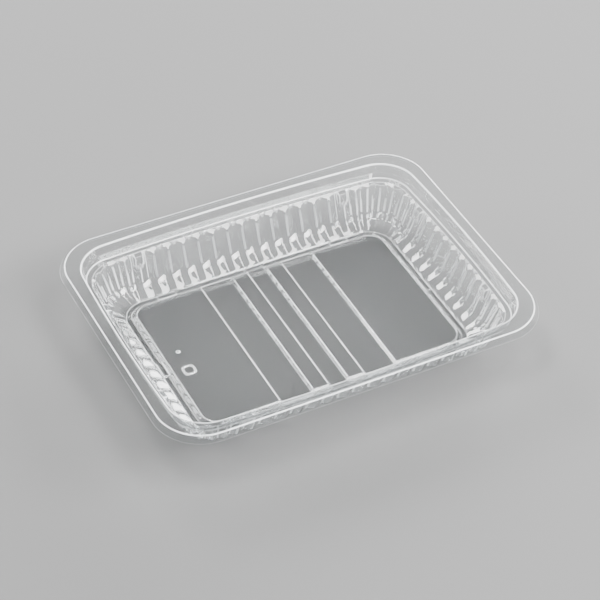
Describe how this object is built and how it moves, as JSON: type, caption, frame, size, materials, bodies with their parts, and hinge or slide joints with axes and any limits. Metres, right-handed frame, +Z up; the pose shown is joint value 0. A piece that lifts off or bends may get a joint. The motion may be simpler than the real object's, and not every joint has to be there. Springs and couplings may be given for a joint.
{
  "type": "deli food container",
  "caption": "Shallow open rectangular tray of clear thermoformed plastic, with a flat flange, stepped rim, fluted walls and a panelled floor.",
  "frame": {"origin": "centre of the plane that the foot channel stands on", "axes": "+X along the tray's length, +Y along its width, +Z up out of the well"},
  "size_m": [0.2248, 0.1698, 0.0317],
  "materials": {
    "clear_plastic": "clear gloss"
  },
  "bodies": {
    "root": {"tray": "clear_plastic"}
  },
  "joints": []
}
